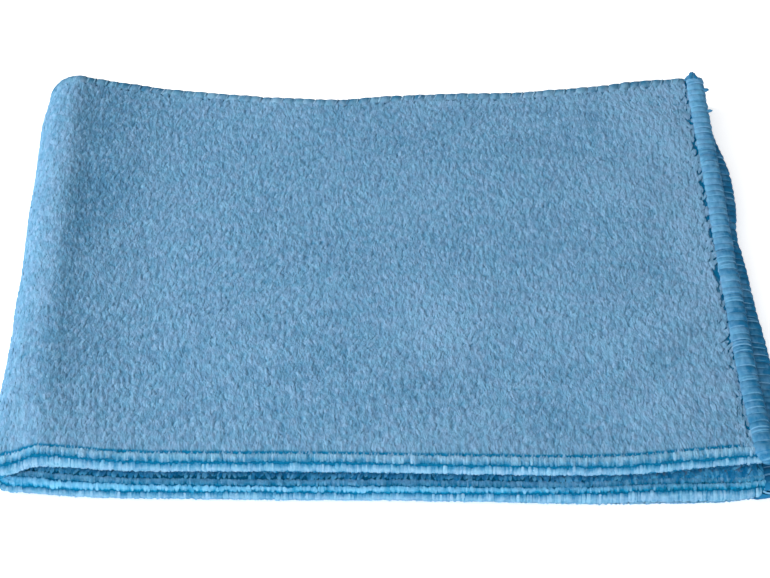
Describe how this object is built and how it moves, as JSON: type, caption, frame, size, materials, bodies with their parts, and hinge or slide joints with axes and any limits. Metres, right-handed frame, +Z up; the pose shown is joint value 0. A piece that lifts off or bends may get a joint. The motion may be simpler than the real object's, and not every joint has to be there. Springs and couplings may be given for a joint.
{
  "type": "microfibre cloth",
  "caption": "Square terry microfibre cleaning cloth folded twice into a quarter-size pad, with overlocked edges at the back and right.",
  "frame": {"origin": "middle of the bounding box at the flat underside, on the surface that the cloth rests on", "axes": "+X from the second fold to the open side hems, +Y from the first fold at the front to the back hems, +Z up through the layers"},
  "size_m": [0.2042, 0.209, 0.0146],
  "materials": {
    "microfibre": "matt looped pile, mid blue",
    "hem_thread": "overlock thread in the cloth's own blue, faintly glossy"
  },
  "bodies": {
    "root": {"cloth": "microfibre"}
  },
  "joints": []
}
